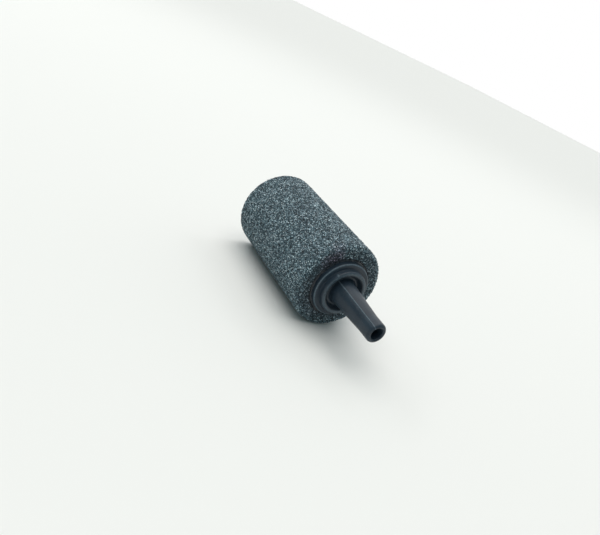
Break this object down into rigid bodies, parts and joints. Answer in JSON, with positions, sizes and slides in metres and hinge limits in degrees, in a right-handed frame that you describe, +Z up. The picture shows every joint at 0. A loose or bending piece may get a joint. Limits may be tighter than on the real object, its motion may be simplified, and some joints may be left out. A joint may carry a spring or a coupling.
{
  "type": "air stone",
  "caption": "Cylindrical porous air stone with a glued-in moulded fitting whose tapered nozzle takes a slim air hose.",
  "frame": {"origin": "On the supporting surface, under the middle of the object's length and width as it lies on its side", "axes": "+X along the stone's own axis from the closed end to the nozzle's tip, +Z up, +Y to the left when looking along +X; the axis of the stone is 9.1 mm above the origin"},
  "size_m": [0.044, 0.0182, 0.0182],
  "materials": {
    "bonded_mineral": "coarse bonded grain, slate blue-grey with pale sparkling grains, dry and matte",
    "moulded_plastic": "injection-moulded black plastic with a blue cast, satin with soft long highlights",
    "cured_adhesive": "cured dark resin bond line, slightly glossy"
  },
  "bodies": {
    "root": {"stone_body": "bonded_mineral", "nozzle_fitting": "moulded_plastic", "adhesive_seal": "cured_adhesive"}
  },
  "joints": []
}
